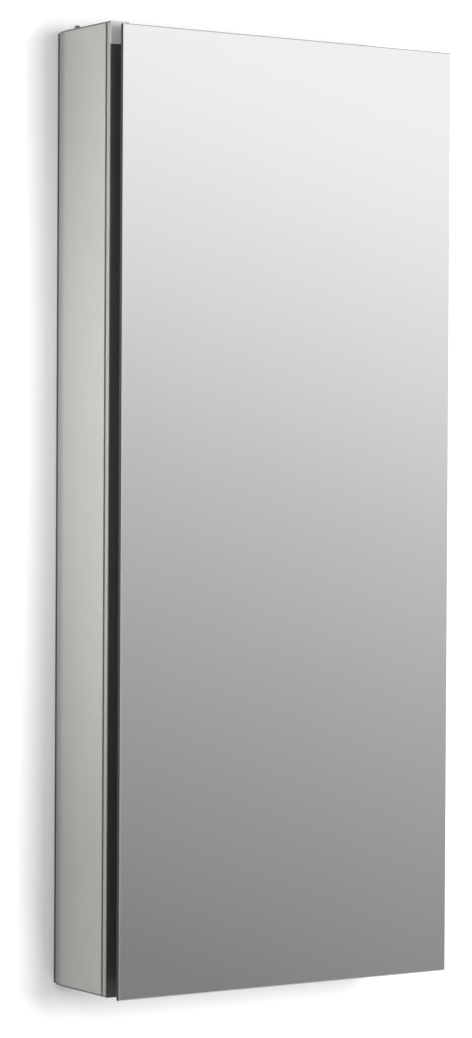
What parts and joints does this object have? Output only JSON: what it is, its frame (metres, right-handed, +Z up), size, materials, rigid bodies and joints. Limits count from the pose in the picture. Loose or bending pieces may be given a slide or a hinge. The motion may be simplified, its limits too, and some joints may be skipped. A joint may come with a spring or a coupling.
{
  "type": "mirrored medicine cabinet",
  "caption": "Wall-hung aluminium medicine cabinet with an overhanging mirror door on a continuous hinge, glass shelves on pins and a mirrored back.",
  "frame": {"origin": "middle of the cabinet's back face, on the wall plane", "axes": "+Z up, +Y into the wall, +X to the right of a person facing the mirror; the door faces -Y"},
  "size_m": [0.381, 0.1245, 0.9234],
  "materials": {
    "satin_aluminium": "satin anodised, fine vertical brushing",
    "sheet_aluminium": "satin sheet",
    "grey_cap": "fine matt grain",
    "grey_end_piece": "fine satin grain",
    "dark_screw": "blackened",
    "zinc_steel": "zinc plated",
    "hinge_steel": "brushed",
    "magnet_steel": "plain",
    "chrome_pin": "polished",
    "mirror_glass": "silvered glass with ground edges",
    "shelf_glass": "clear, polished edge",
    "black_seal": "soft satin",
    "black_tape": "matt foam",
    "black_sheet": "matt black",
    "black_board": "black-faced composite board",
    "white_plastic": "moulded",
    "clear_pad": "soft clear"
  },
  "bodies": {
    "cabinet": {"side_profile_left": "satin_aluminium", "side_profile_right": "satin_aluminium", "top_cap_left": "grey_cap", "top_cap_right": "grey_cap", "bottom_cap_left": "grey_cap", "bottom_cap_right": "grey_cap", "cap_screws": "dark_screw", "top_panel": "sheet_aluminium", "bottom_panel": "sheet_aluminium", "panel_screws": "zinc_steel", "back_panel": "black_board", "mounting_rail_top": "zinc_steel", "mounting_rail_bottom": "zinc_steel", "back_mirror": "mirror_glass", "seal_left": "black_seal", "seal_top": "black_seal", "seal_bottom": "black_seal", "seal_stop": "grey_end_piece", "shelf_bottom": "shelf_glass", "shelf_middle": "shelf_glass", "shelf_top": "shelf_glass", "shelf_pins": "chrome_pin", "shelf_pads": "clear_pad", "catch_housings": "white_plastic", "catch_magnets": "magnet_steel", "catch_screws": "zinc_steel", "hinge_body_leaf": "hinge_steel", "hinge_pin": "hinge_steel", "hinge_body_screws": "zinc_steel"},
    "door": {"front_mirror": "mirror_glass", "mirror_tape": "black_tape", "door_backing": "black_sheet", "backing_rivets": "zinc_steel", "door_stile_left": "satin_aluminium", "door_stile_right": "satin_aluminium", "door_rail_top": "satin_aluminium", "door_rail_bottom": "satin_aluminium", "corner_keys": "zinc_steel", "inner_mirror": "mirror_glass", "strike_plates": "zinc_steel", "strike_screws": "zinc_steel", "hinge_door_leaf": "hinge_steel", "hinge_door_screws": "zinc_steel"}
  },
  "joints": [
    {"name": "door_swing", "type": "hinge", "parent": "cabinet", "child": "door", "pos_m": [0.184, -0.1031, 0], "axis": [0, 0, 1], "range_deg": [0, 110]}
  ]
}
